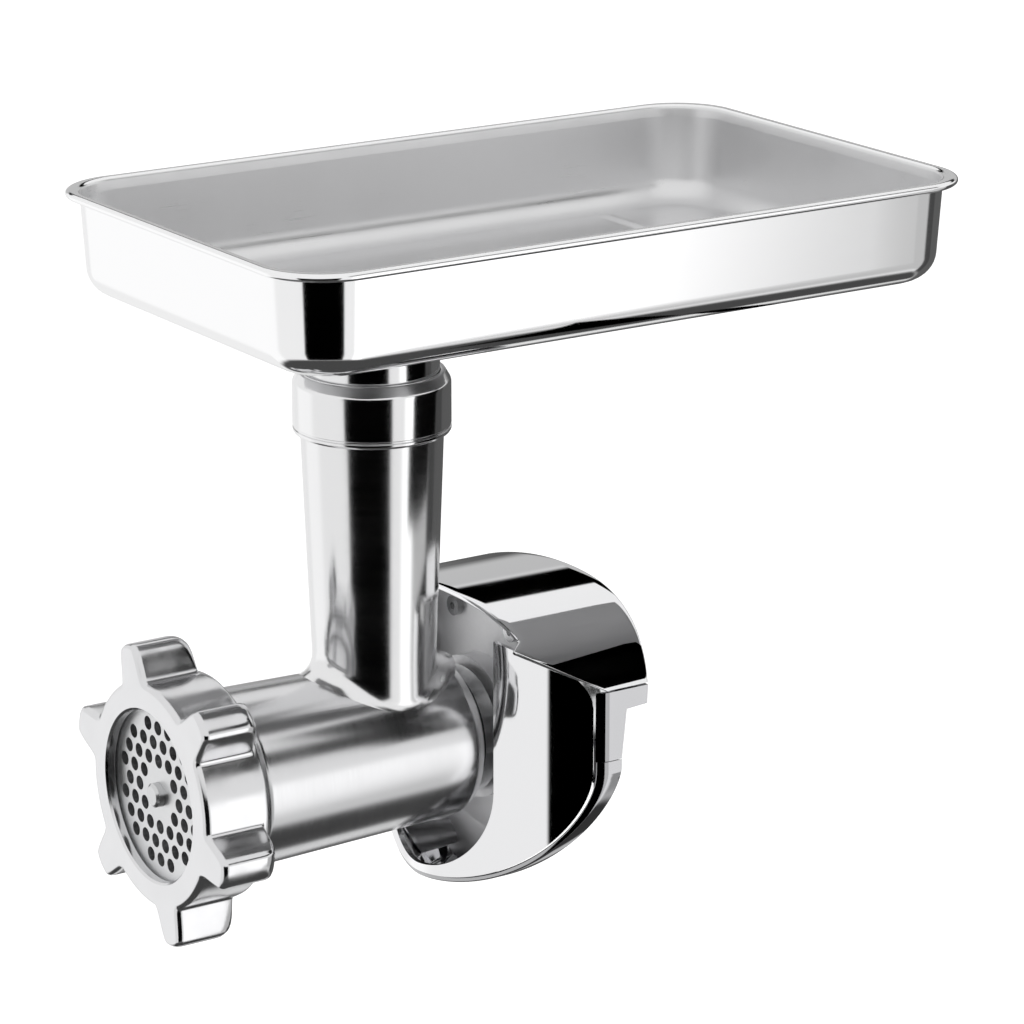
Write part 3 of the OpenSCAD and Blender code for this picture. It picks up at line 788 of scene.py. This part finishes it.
def build_shield():
    """The dished sheet under the barrel, from behind the cover to the adapter plate."""
    y0, y1 = -31 * MM, -4.5 * MM
    gap, dish = 2.3 * MM, 7.6 * MM
    behind_cover = 2.5 * MM
    sheet = 1.1 * MM
    lines, cols = 20, 96
    outer, inner = [], []
    for i in range(lines + 1):
        row_out, row_in = [], []
        for j in range(cols + 1):
            a = math.radians(180 + 180 * j / cols)
            x = (BAND_X - 5 * MM) * math.cos(a)
            front = max(y0, cover_y(x) + behind_cover)
            y = front + (y1 - front) * i / lines
            inset = gap + dish * (y - y0) / (y1 - y0)
            for row, extra in ((row_out, 0), (row_in, sheet)):
                row.append(((BAND_X - inset - extra) * math.cos(a), y,
                            LOW_CZ + (LOW_B - inset - extra) * math.sin(a)))
        outer.append(row_out)
        inner.append(row_in)
    bm = bmesh.new()
    verts = grid(bm, outer + inner[::-1], close_u=False, close_v=True)
    cap_ends(bm, verts)
    finish_mesh("dished_shield", bm, "head", ["inner_shield"], angle=50,
                materials=[chrome])


# ---- screw ------------------------------------------------------------------

def build_auger():
    """The feed screw: one helical flight, and the core with its end disc and its holes."""
    core = 10.5 * MM
    turns = 2.75
    disc_y, disc_r = AUGER_Y1 - 3 * MM, AUGER_R - 0.5 * MM
    y1 = disc_y + 0.5 * MM
    length = y1 - AUGER_Y0
    spread = math.radians(26)
    grow, fade, least = 6 * MM, 2 * MM, 0.2
    steps = 260
    side = [(core - 0.6 * MM, 1.55), (core + 1.5 * MM, 1.28), (core + 5 * MM, 1.1),
            (AUGER_R - 1.5 * MM, 1.0), (AUGER_R - 0.4 * MM, 0.96), (AUGER_R, 0.86), (AUGER_R, 0.4)]
    profile = [(r, -w) for r, w in side] + [(AUGER_R, 0)] + side[::-1]
    bm = bmesh.new()
    rows = []
    for i in range(steps + 1):
        s = i / steps
        base = math.radians(90) - 2 * math.pi * turns * s
        taper = min(1.0, s * length / grow, (1 - s) * length / fade + least)
        rows.append([around_y(r, y1 - length * s, base + w * spread * taper) for r, w in profile])
    ends = grid(bm, rows)
    bm.faces.new(ends[0])
    bm.faces.new(list(reversed(ends[-1])))
    finish_mesh("screw_flight", bm, "screw", ["auger"], angle=60, materials=[cast])
    stud_r, shaft_r = 5 * MM, 6 * MM
    shaft_end = AUGER_Y1 - 24 * MM
    bm = bmesh.new()
    outline = rounded([
        (stud_r, AUGER_Y0, 0.3 * MM), (core, AUGER_Y0, 0.8 * MM), (core, disc_y, 1.5 * MM),
        (disc_r, disc_y, 0.6 * MM), (disc_r, AUGER_Y1, 0.6 * MM), (shaft_r, AUGER_Y1, 0.4 * MM),
        (shaft_r, shaft_end, 0.2 * MM), (stud_r, shaft_end, 0.2 * MM)])
    lathe(bm, outline, around_y, steps=96)
    finish_mesh("screw_core", bm, "screw", ["auger"], materials=[cast])


for build in (build_tray, build_spigot, build_barrel, build_neck, build_collar, build_ring_nut,
              build_cover, build_hood, build_band, build_shield, build_auger):
    build()


# ---- CAD pieces that stay: finish and softened edges -------------------------

# nodes that stay as they are: material and width of the softened edge in mm
KEPT = {
    "plate_key": (machined, 0.15), "rear_bush": (bronze, 0.2), "shaft_seal": (rubber, 0.3),
    "hub_shank": (machined, 0.25), "flange_gasket": (rubber, 0.1), "adapter_plate": (plate_cast, 0.3),
    "side_strips": (chrome_side, 0.3), "cover_screws": (machined, 0.25), "band_screws": (machined, 0.15),
    "shank_screws": (machined, 0.2), "support_posts": (cast, 0.3), "auger_stud": (machined, 0.2),
    "cross_knife": (knife_metal, 0.2), "drive_shaft": (machined, 0.3), "drive_pin": (machined, 0.2),
    "thrust_washer": (plastic, 0.15), "grinding_plate": (ground, 0.22),
}
# nodes that the pieces above stand in for
SPARE = {
    "barrel": satin, "feed_neck": polished, "neck_collar": polished, "front_cover": chrome,
    "hood": chrome, "inner_shield": chrome, "lower_band": chrome, "auger": cast,
    "ring_nut": polished_nut, "tray_pan": tray_out, "tray_spigot": polished,
}


def dress(node, material):
    """Gives every slot of a node the material."""
    piece = nodes[node]
    if not piece.material_slots:
        piece.data.materials.append(material)
    for place in piece.material_slots:
        place.material = material
    return piece


for name, (material, width) in KEPT.items():
    soften(dress(name, material), width * MM, angle=35)
for name, material in SPARE.items():
    dress(name, material)


# ---- world, floor, light and camera ------------------------------------------

def studio_world():
    """White all round, with soft dark and grey flags that the polished metal reflects."""
    world = bpy.data.worlds.new("studio")
    bpy.context.scene.world = world
    world.use_nodes = True
    tree = world.node_tree
    tree.nodes.clear()
    out = tree.nodes.new("ShaderNodeOutputWorld")
    place = tree.nodes.new("ShaderNodeTexCoord")
    split = tree.nodes.new("ShaderNodeSeparateXYZ")
    tree.links.new(place.outputs["Generated"], split.inputs["Vector"])

    def math_node(kind, a, b=None):
        node = tree.nodes.new("ShaderNodeMath")
        node.operation = kind
        for slot, value in zip(node.inputs, (a, b)):
            if value is None:
                continue
            if isinstance(value, (int, float)):
                slot.default_value = value
            else:
                tree.links.new(value, slot)
        return node.outputs[0]

    back = math_node("MULTIPLY", split.outputs["Y"], -1)
    azimuth = math_node("MULTIPLY", math_node("ARCTAN2", split.outputs["X"], back), 180 / math.pi)
    height = math_node("MULTIPLY", math_node("ARCSINE", split.outputs["Z"]), 180 / math.pi)

    def inside(value, low, high, soft):
        def ramp(lo, hi):
            node = tree.nodes.new("ShaderNodeMapRange")
            node.interpolation_type = "SMOOTHSTEP"
            node.inputs["From Min"].default_value = lo
            node.inputs["From Max"].default_value = hi
            tree.links.new(value, node.inputs["Value"])
            return node.outputs["Result"]
        up = ramp(low - soft, low + soft)
        down = ramp(high - soft, high + soft)
        return math_node("MULTIPLY", up, math_node("SUBTRACT", 1, down))

    # azimuth from, to, height from, to, softness, brightness; later flags cover earlier ones
    flags = [
        (-200, 200, -95, -44, 4, 0.06),
        (-160, -105, -62, -28, 5, 0.75),
        (108, 129, -44, 2, 3, 1.3),
        (-75, -38, -44, 2, 6, 0.99),
        (18, 88, -44, 10, 1.2, 0.0),
        (-160, -92, 2, 17.5, 1.5, 0.5),
        (-165, -85, 17.5, 25.5, 0.4, 0.0),
        (130, 160, -40, 0, 5, 0.5),
        (160, 200, -44, 4, 4, 0.06),
        (-200, -118, -44, 4, 4, 0.1),
        (104, 150, 22.5, 36, 2, 0.04),
    ]
    base_level, strength = 0.86, 1.06
    level = base_level
    for az0, az1, el0, el1, soft, bright in flags:
        area = math_node("MULTIPLY", inside(azimuth, az0, az1, soft), inside(height, el0, el1, soft))
        change = math_node("MULTIPLY", area, math_node("SUBTRACT", bright, level))
        level = math_node("ADD", level, change)
    shown = tree.nodes.new("ShaderNodeLightPath")
    seen = tree.nodes.new("ShaderNodeMix")
    seen.data_type = "FLOAT"
    tree.links.new(shown.outputs["Is Camera Ray"], seen.inputs["Factor"])
    tree.links.new(level, seen.inputs["A"])
    seen.inputs["B"].default_value = 1.0
    light = tree.nodes.new("ShaderNodeBackground")
    tree.links.new(seen.outputs["Result"], light.inputs["Color"])
    light.inputs["Strength"].default_value = strength
    tree.links.new(light.outputs["Background"], out.inputs["Surface"])


def stage_plane(name, rows, color):
    """A flat piece of the studio, and its shader."""
    bm = bmesh.new()
    grid(bm, rows, close_u=False)
    mesh = bpy.data.meshes.new(name)
    bm.to_mesh(mesh)
    bm.free()
    mat = bpy.data.materials.new(name)
    mat.use_nodes = True
    shader = mat.node_tree.nodes["Principled BSDF"]
    shader.inputs["Base Color"].default_value = (*color, 1)
    mesh.materials.append(mat)
    piece = bpy.data.objects.new(name, mesh)
    bpy.context.scene.collection.objects.link(piece)
    return piece, shader


def floor():
    """A pale floor, 300 mm below the lowest point."""
    size = 6.0
    z = cad_box[0][2] - 300 * MM
    piece, shader = stage_plane("floor", [[(-size, -size, z), (size, -size, z)],
                                          [(-size, size, z), (size, size, z)]], (0.97, 0.97, 0.97))
    shader.inputs["Roughness"].default_value = 0.9
    shader.inputs["Emission Color"].default_value = (1, 1, 1, 1)
    shader.inputs["Emission Strength"].default_value = 0.35
    piece.visible_glossy = False


def side_card():
    """A black studio card beyond the hood's right side, seen only in polished metal."""
    near, far = Vector((113 * MM, 2 * MM, 42 * MM)), Vector((68 * MM, 88 * MM, 42 * MM))
    rise = Vector((-22 * MM, -8 * MM, 97 * MM))
    piece, shader = stage_plane("card", [[near, far], [near + rise, far + rise]], (0, 0, 0))
    shader.inputs["Specular IOR Level"].default_value = 0
    piece.visible_camera = False
    piece.visible_diffuse = False
    piece.visible_shadow = False


def camera():
    """A long lens, 57 degrees round from the plate end and 17 degrees up."""
    data = bpy.data.cameras.new("camera")
    data.lens = 148.9
    data.sensor_width = 36
    data.clip_end = 30
    piece = bpy.data.objects.new("camera", data)
    azimuth, height, distance = math.radians(56.534), math.radians(16.75), 1.3946
    target = Vector((0, 5.705 * MM, 71.306 * MM))
    level = Vector((math.sin(azimuth), -math.cos(azimuth), 0))
    away = level * math.cos(height) + Vector((0, 0, math.sin(height)))
    piece.location = target + away * distance
    piece.rotation_euler = (-away).to_track_quat("-Z", "Y").to_euler()
    bpy.context.scene.collection.objects.link(piece)
    bpy.context.scene.camera = piece


studio_world()
floor()
side_card()
camera()
bpy.context.scene.view_settings.view_transform = "Standard"
